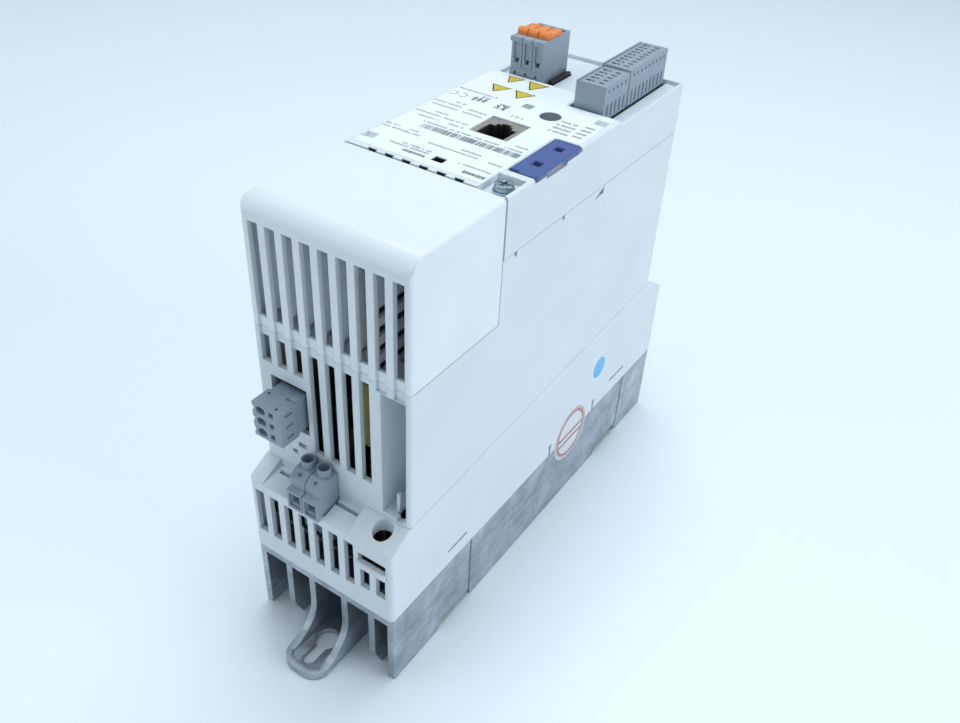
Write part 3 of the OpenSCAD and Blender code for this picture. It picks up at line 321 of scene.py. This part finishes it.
FINISHES = {
    "cast_aluminium": aluminium_casting,
    "shell_plastic": shell_abs,
    "cover_plastic": cover_abs,
    "label_white": label_film,
    "label_seal": seal_film,
    "label_blue": dot_film,
    "module_blue": module_abs,
    "window_dark": smoked_lens,
    "window_grey": grey_lens,
    "light_pipe": milk_lens,
    "jack_metal": tin_plate,
    "insert_black": black_polyamide,
    "contact_gold": gold_plate,
    "connector_grey": plug_polyamide,
    "header_dark": black_polyamide,
    "lever_orange": lever_acetal,
    "zinc_steel": zinc_plate,
    "clamp_brass": brass_metal,
    "board_green": laminate,
    "capacitor_sleeve": sleeve_film,
    "film_olive": film_case,
    "core_dark": ferrite,
    "copper_wire": copper_enamel,
    "coil_tape": coil_tape,
    "pad_cream": thermal_rubber,
    "sheet_cream": insulating_paper,
}

slot_of = {part["node"]: part["material_slot"] for part in frame["record"]["subparts"]}
for name, node in nodes.items():
    node.data.materials.clear()
    node.data.materials.append(FINISHES[slot_of[name]])


# ---------------------------------------------------------------- shaping

body_of = {
    node: body for body, names in frame["record"]["behaviour"]["bodies"].items() for node in names
}


LINE_END_MM = -100.5  # Y of the upper housing's line end


def row_y(distance_mm):
    """Y of a place on the operating face, from its distance to the housing's line end."""
    return (LINE_END_MM + distance_mm) * MM


def shade_curves(bm, widest_mm=1.0):
    """Shades curves smoothly and flat faces flat: a facet narrower than this belongs to a curve."""
    level = math.radians(0.4)  # facets that meet at less than this lie in one plane
    done = set()
    for first in bm.faces:
        if first in done:
            continue
        patch, waiting, rim = [], [first], 0
        done.add(first)
        while waiting:
            face = waiting.pop()
            patch.append(face)
            for edge in face.edges:
                if len(edge.link_faces) != 2 or edge.calc_face_angle(0) > level:
                    rim += edge.calc_length()
                    continue
                for beside in edge.link_faces:
                    if beside not in done:
                        done.add(beside)
                        waiting.append(beside)
        area = sum(face.calc_area() for face in patch)
        curved = rim == 0 or 2 * area / rim < widest_mm * MM
        for face in patch:
            face.smooth = curved


def make_piece(name, bm, finish, body):
    """Makes a finished mesh an object that rides on a body."""
    shade_curves(bm)
    mesh = bpy.data.meshes.new(name)
    bm.to_mesh(mesh)
    bm.free()
    # Normals stored with a CAD node no longer fit its rounded copy, and smear its flat sides
    if "custom_normal" in mesh.attributes:
        mesh.attributes.remove(mesh.attributes["custom_normal"])
    mesh.set_sharp_from_angle(angle=math.radians(30))
    mesh.materials.append(finish)
    made = bpy.data.objects.new(name, mesh)
    bpy.context.scene.collection.objects.link(made)
    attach(made, body)
    return made


def box_mesh(bm, low, high):
    """Adds a closed block between two corners, in metres."""
    made = bmesh.ops.create_cube(bm, size=1)["verts"]
    size = [high[i] - low[i] for i in range(3)]
    middle = [(high[i] + low[i]) / 2 for i in range(3)]
    bmesh.ops.scale(bm, vec=size, verts=made)
    bmesh.ops.translate(bm, vec=middle, verts=made)
    return made


def round_over(bm, edges, radius_mm, segments):
    """Rounds the given edges over."""
    bmesh.ops.bevel(
        bm,
        geom=edges,
        offset=radius_mm * MM,
        offset_type="OFFSET",
        segments=segments,
        profile=0.5,
        affect="EDGES",
        material=-1,
        clamp_overlap=True,
        loop_slide=True,
    )


def soften(node, radius_mm, segments=2, chosen=None):
    """A CAD node's copy with its chosen outer edges rounded over, which stands for the node."""
    bm = bmesh.new()
    bm.from_mesh(nodes[node].data)
    bmesh.ops.remove_doubles(bm, verts=bm.verts, dist=0.001 * MM)
    if radius_mm:
        edges = [
            edge
            for edge in bm.edges
            if len(edge.link_faces) == 2
            and edge.is_convex
            and edge.calc_face_angle(0) > math.radians(40)
            and (chosen is None or chosen(edge))
        ]
        round_over(bm, edges, radius_mm, segments)
    piece = make_piece(node + "_finished", bm, FINISHES[slot_of[node]], body_of[node])
    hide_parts(node)
    return piece


# ---------------------------------------------------------------- the CAD pieces, finished


def on_lug(edge):
    """Whether an edge belongs to one of the heat sink's end lugs."""
    inmost_y, lug_top = 110.8 * MM, 14 * MM
    beyond = min(abs(vert.co.y) for vert in edge.verts) > inmost_y
    return beyond and max(vert.co.z for vert in edge.verts) < lug_top


def plug_corner(edge):
    """Whether an edge is long enough to show its rounding on a small plug."""
    shortest = 1.2 * MM
    return edge.calc_length() > shortest


soften("heat_sink", 0.9, 3, on_lug)
for node, radius_mm in (
    ("memory_module", 0.35),
    ("relay_plug", 0.25),
    ("five_pole_plug", 0.25),
    ("nine_pole_plug", 0.25),
    ("lever_plug", 0.2),
    ("mains_terminal", 0.3),
    ("motor_terminal", 0.3),
):
    soften(node, radius_mm, chosen=plug_corner)
for node in ("lever_a", "lever_b", "lever_c", "panel_screw", "earth_screw"):
    soften(node, 0.3)
for node in (
    "main_housing", "lower_housing", "front_panel", "blind_cover", "front_label", "seal_label",
    "dot_label", "round_window", "panel_washer", "earth_washer",
    "mains_screw_a", "mains_screw_b", "bulk_capacitors", "choke_core",
    "choke_winding", "board_screws", "module_screws",
):
    soften(node, 0)


# ---------------------------------------------------------------- print on the labels

label_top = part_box("front_label")[1].z
ink_depth = 0.05 * MM


def ink_patch(bm, x0_mm, x1_mm, at_mm, tall_mm):
    """Adds one printed bar, centred on a row of the label."""
    box_mesh(
        bm,
        (x0_mm * MM, row_y(at_mm - tall_mm / 2), label_top - ink_depth / 2),
        (x1_mm * MM, row_y(at_mm + tall_mm / 2), label_top + ink_depth / 2),
    )


def dashed_row(bm, x0_mm, x1_mm, at_mm, tall_mm, spread):
    """Adds a row of short bars of uneven length, which stands for a line of small print."""
    x = x0_mm
    while x < x1_mm - 0.3:
        end = min(x + spread.uniform(0.5, 1.1), x1_mm)
        ink_patch(bm, x, end, at_mm, tall_mm * spread.uniform(0.75, 1))
        x = end + (spread.uniform(0.9, 1.4) if spread.random() < 0.12 else 0.3)


def label_rows():
    """The small print of the label as plain dashes."""
    spread = random.Random(7)
    bm = bmesh.new()
    for x0, x1, at in (
        (-17.5, -4.8, 64.3), (-22, -4.8, 62.4), (7.5, 21.4, 63.3),
        (-33, -26.5, 75), (-22.5, -18.5, 75), (-33, -16.5, 72.5),
        (2, 11, 72.8), (-10.5, 11, 70.1), (15.6, 21.2, 70),
        (-23, -1.5, 84.4), (0, 10.5, 84.4), (13, 21, 84.4), (15.7, 21, 87.8),
        (-29, -19, 88.3), (-14.5, -8, 88.3), (-32.5, -20.5, 91.7), (-19, -8, 91.7),
        (-25, -19, 94.7), (-31, -19.5, 100.9), (-17, -8, 100.9),
        (-32.5, -19.5, 104.3), (-16.5, -8, 104.3), (-24.5, -19, 107.5),
        (-0.5, 5.2, 110), (-32, -14, 121), (-19.5, -15.5, 118.6),
    ):
        dashed_row(bm, x0, x1, at, 1.25, spread)
    for at in (117.9, 114.5, 111.3, 107.9):
        dashed_row(bm, 17.2, 25.4, at, 1.7, spread)
    make_piece("label_small_print", bm, grey_ink, "drive")


def label_heavy_print():
    """The bar code, the square code and the heavier rows."""
    spread = random.Random(19)
    bm = bmesh.new()
    x = -21.4
    while x < 21.2:
        wide = spread.choice((0.25, 0.25, 0.5, 0.75))
        ink_patch(bm, x, min(x + wide, 21.3), 80.9, 3.7)
        x += wide + spread.choice((0.25, 0.35, 0.6))
    for column in range(10):
        for row in range(10):
            if spread.random() < 0.52:
                ink_patch(bm, -10.3 + 0.5 * column, -9.8 + 0.5 * column, 112.4 + 0.52 * row, 0.5)
    dashed_row(bm, -14, -4.4, 59.7, 1.7, spread)
    dashed_row(bm, 12.5, 21.4, 58.8, 2.2, spread)
    make_piece("label_heavy_print", bm, black_ink, "drive")


def label_marks():
    """Two open rings and a barred mark, as plain outlines."""
    bm = bmesh.new()
    for x_mm in (-31, -26.6):
        ring = bmesh.ops.create_circle(bm, cap_ends=False, radius=2 * MM, segments=48)["verts"]
        bmesh.ops.translate(bm, vec=(x_mm * MM, row_y(115), label_top - ink_depth / 2), verts=ring)
        gap = [vert for vert in ring if vert.co.x < (x_mm - 1.2) * MM]
        bmesh.ops.delete(bm, geom=gap, context="VERTS")
    arcs = list(bm.edges)
    made = bmesh.ops.extrude_edge_only(bm, edges=arcs)["geom"]
    raised = [part for part in made if isinstance(part, bmesh.types.BMVert)]
    bmesh.ops.translate(bm, vec=(0, 0, ink_depth), verts=raised)
    bmesh.ops.recalc_face_normals(bm, faces=bm.faces)
    bmesh.ops.solidify(bm, geom=bm.faces, thickness=0.45 * MM)
    for step in range(3):
        ink_patch(bm, -21.5 + 2.2 * step, -20.1 + 2.2 * step, 115 + 0.3 * step, 4.2)
    ink_patch(bm, -22, -15, 115.2, 0.45)
    make_piece("label_marks", bm, grey_ink, "drive")


def yellow_triangles():
    """Four plain yellow triangles with dark rims."""
    unit_wide, unit_tall = 1.732, 1.5  # a triangle in a circle of radius 1
    yellow, rim = bmesh.new(), bmesh.new()
    for x_mm, at_mm, wide_mm, tall_mm in (
        (-19.6, 129.6, 9.6, 7.6), (-8.3, 129.4, 9.8, 7.8), (-20, 141.7, 8.2, 7.6), (-9, 140.9, 9.8, 8.6),
    ):
        for bm, grow, top in ((rim, 1, 0.5), (yellow, 0.84, 1.1)):
            made = bmesh.ops.create_circle(bm, cap_ends=True, radius=1, segments=3)["verts"]
            turned = Matrix.Rotation(math.pi, 3, "Z")
            bmesh.ops.rotate(bm, cent=(0, 0, 0), matrix=turned, verts=made)
            bmesh.ops.scale(
                bm,
                vec=(wide_mm / unit_wide * grow * MM, tall_mm / unit_tall * grow * MM, 1),
                verts=made,
            )
            bmesh.ops.translate(
                bm,
                vec=(x_mm * MM, row_y(at_mm + tall_mm / 6), label_top - ink_depth / 2),
                verts=made,
            )
            face = [f for f in bm.faces if all(v in made for v in f.verts)]
            lifted = bmesh.ops.extrude_face_region(bm, geom=face)["geom"]
            bmesh.ops.translate(
                bm,
                vec=(0, 0, ink_depth * top),
                verts=[part for part in lifted if isinstance(part, bmesh.types.BMVert)],
            )
    for bm in (rim, yellow):
        bmesh.ops.recalc_face_normals(bm, faces=bm.faces)
    make_piece("triangle_rims", rim, black_ink, "drive")
    make_piece("triangle_fields", yellow, yellow_ink, "drive")


def seal_print():
    """The seal's two red rings and the two bands across it."""
    low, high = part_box("seal_label")
    middle = (low + high) / 2
    sunk = 0.01 * MM
    band_half, band_reach = 0.8 * MM, 10.9 * MM
    bm = bmesh.new()
    for inner_mm, outer_mm in ((11.2, 12.8), (13.3, 13.7)):
        made = bmesh.ops.create_circle(bm, cap_ends=False, radius=inner_mm * MM, segments=96)
        grown = bmesh.ops.extrude_edge_only(
            bm, edges=list({edge for vert in made["verts"] for edge in vert.link_edges})
        )["geom"]
        verts = [part for part in grown if isinstance(part, bmesh.types.BMVert)]
        bmesh.ops.scale(bm, vec=(outer_mm / inner_mm, outer_mm / inner_mm, 1), verts=verts)
    bmesh.ops.recalc_face_normals(bm, faces=bm.faces)
    bmesh.ops.solidify(bm, geom=bm.faces, thickness=ink_depth)
    for at_mm in (-3.4, 0.4):
        box_mesh(
            bm,
            (-band_reach, at_mm * MM - band_half, 0),
            (band_reach, at_mm * MM + band_half, ink_depth),
        )
    standing = Matrix(((0, 0, 1), (1, 0, 0), (0, 1, 0)))
    bmesh.ops.rotate(bm, cent=(0, 0, 0), matrix=standing, verts=bm.verts)
    bmesh.ops.translate(bm, vec=(high.x - sunk, middle.y, middle.z), verts=bm.verts)
    make_piece("seal_print", bm, red_ink, "drive")


label_rows()
label_heavy_print()
label_marks()
yellow_triangles()
seal_print()


# ---------------------------------------------------------------- small parts on the boards


def chip_rows(name, board, side, spread, count, finish, size_mm, keep):
    """Scatters small surface-mounted parts over the middle of one face of a board, clear of each other."""
    low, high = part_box(board)
    span = [high[i] - low[i] for i in range(3)]
    normal = span.index(min(span))
    across, along = [i for i in range(3) if i != normal]
    bm = bmesh.new()
    taken = []
    tries = 0
    while len(taken) < count and tries < 4000:
        tries += 1
        place = [0, 0]
        for n, axis in enumerate((across, along)):
            first, last = keep[n]
            place[n] = low[axis] + span[axis] * spread.uniform(first, last)
        turned = spread.random() < 0.5
        wide, long = (size_mm[1], size_mm[0]) if turned else (size_mm[0], size_mm[1])
        half = (wide * MM / 2, long * MM / 2)
        if any(
            abs(place[0] - x) < half[0] + a + 0.4 * MM and abs(place[1] - y) < half[1] + b + 0.4 * MM
            for x, y, a, b in taken
        ):
            continue
        taken.append((place[0], place[1], *half))
        base = high[normal] if side > 0 else low[normal]
        ends = sorted((base - side * 0.01 * MM, base + side * size_mm[2] * MM))
        first, last = [0, 0, 0], [0, 0, 0]
        first[normal], last[normal] = ends
        for n, axis in enumerate((across, along)):
            first[axis] = place[n] - half[n]
            last[axis] = place[n] + half[n]
        box_mesh(bm, first, last)
    round_over(bm, list(bm.edges), 0.12, 1)
    make_piece(name, bm, finish, "drive")


def board_parts():
    """Small parts on the boards, as far as they show through the vents."""
    spread = random.Random(31)
    chip_rows(
        "power_board_chips", "power_board", 1, spread, 24, black_polyamide,
        (3.2, 1.8, 1.1), ((0.58, 0.74), (0.01, 0.12)),
    )
    chip_rows(
        "relay_board_chips", "relay_board", -1, spread, 30, black_polyamide,
        (3.6, 2.2, 1.2), ((0.08, 0.92), (0.12, 0.5)),
    )


def painted_shade_behind_bay_slots():
    """Dark sheet behind the slotted wall of the communication bay: painted shade that darkens the view
    through the slots.
    """
    bm = bmesh.new()
    # a black sheet stands where the bay's inside lies only in shade, so it paints that shade
    verts = box_mesh(
        bm,
        (18.02 * MM, row_y(3.2), 140.8 * MM),
        (18.36 * MM, row_y(46), 183 * MM),
    )
    round_over(bm, list({edge for vert in verts for edge in vert.link_edges}), 0.1, 1)
    make_piece("painted_shade_behind_bay_slots", bm, black_polyamide, "drive")


def painted_shade_in_openings():
    """Black blocks at the ends of the panel's small openings and in its square recess, where the real ones
    run on inside: painted shade, standing for the dark inside.
    """
    bm = bmesh.new()
    bay_edge = row_y(51.7)
    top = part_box("front_panel")[1].z
    # painted shade: black blocks at the depth of each notch stand where only shade falls
    for step in range(6):
        x_mm = -24.6 + 7.5 * step
        box_mesh(
            bm,
            (x_mm * MM, bay_edge + 2.12 * MM, top - 6.9 * MM),
            ((x_mm + 4) * MM, bay_edge + 2.29 * MM, top - 0.25 * MM),
        )
    # the same painted shade in the square recess: black walls and a black floor
    for x0, x1, y0, y1 in (
        (-1.6, 3.2, 62.75, 62.95),
        (-1.65, -1.45, 59.3, 62.9),
        (3.05, 3.25, 59.3, 62.9),
    ):
        box_mesh(
            bm,
            (x0 * MM, row_y(y0), top - 4 * MM),
            (x1 * MM, row_y(y1), top - 0.25 * MM),
        )
    box_mesh(
        bm,
        (-1.5 * MM, row_y(59.3), top - 4 * MM),
        (3.1 * MM, row_y(62.9), top - 3.6 * MM),
    )
    make_piece("painted_shade_in_openings", bm, black_polyamide, "drive")


board_parts()
painted_shade_behind_bay_slots()
painted_shade_in_openings()


# ---------------------------------------------------------------- stage, light and camera


def studio():
    """Pale floor, pale world and soft panels of light."""
    bm = bmesh.new()
    bmesh.ops.create_grid(bm, x_segments=1, y_segments=1, size=3)
    bmesh.ops.translate(bm, vec=(0, 0.6, -0.0003), verts=bm.verts)
    mesh = bpy.data.meshes.new("floor")
    bm.to_mesh(mesh)
    bm.free()
    floor = bpy.data.objects.new("floor", mesh)
    bpy.context.scene.collection.objects.link(floor)
    paint = bpy.data.materials.new("pale_floor")
    paint.use_nodes = True
    shader = paint.node_tree.nodes["Principled BSDF"]
    shader.inputs["Base Color"].default_value = linear("#eaf1f7")
    shader.inputs["Roughness"].default_value = 0.55
    mesh.materials.append(paint)

    world = bpy.data.worlds.new("studio")
    world.use_nodes = True
    bpy.context.scene.world = world
    sky = world.node_tree.nodes["Background"]
    sky.inputs["Color"].default_value = linear("#dfecf5")
    sky.inputs["Strength"].default_value = 0.56

    for name, place, aim, size, power in (
        ("overhead", (-0.1, 0.25, 1.5), (0, 0, 0.1), 0.9, 13.5),
        ("right_window", (1.4, 0.25, 0.6), (0, 0, 0.1), 0.8, 7.5),
        ("left_fill", (-0.9, -1.2, 0.8), (0, 0, 0.08), 0.9, 3),
    ):
        lamp = bpy.data.lights.new(name, "AREA")
        lamp.shape = "SQUARE"
        lamp.size = size
        lamp.energy = power
        lamp.color = linear("#f0f8ff")[:3]
        light = bpy.data.objects.new(name, lamp)
        bpy.context.scene.collection.objects.link(light)
        light.location = place
        light.rotation_euler = (Vector(aim) - Vector(place)).to_track_quat("-Z", "Y").to_euler()


def camera():
    """The viewing point over the line end, to the right of the drive."""
    place = Vector((0.177074, -0.286665, 0.334321))
    aim = Vector((-0.000333, -0.003108, 0.080309))
    roll = math.radians(3.2918)
    lens = bpy.data.cameras.new("camera")
    lens.sensor_width = 36
    lens.lens = 35.365
    lens.clip_start = 0.01
    lens.clip_end = 20
    eye = bpy.data.objects.new("camera", lens)
    bpy.context.scene.collection.objects.link(eye)
    facing = (aim - place).to_track_quat("-Z", "Y").to_matrix().to_4x4()
    eye.matrix_world = Matrix.Translation(place) @ facing @ Matrix.Rotation(roll, 4, "Z")
    bpy.context.scene.camera = eye


studio()
camera()

bpy.context.scene.view_settings.view_transform = "Standard"

bpy.context.view_layer.update()
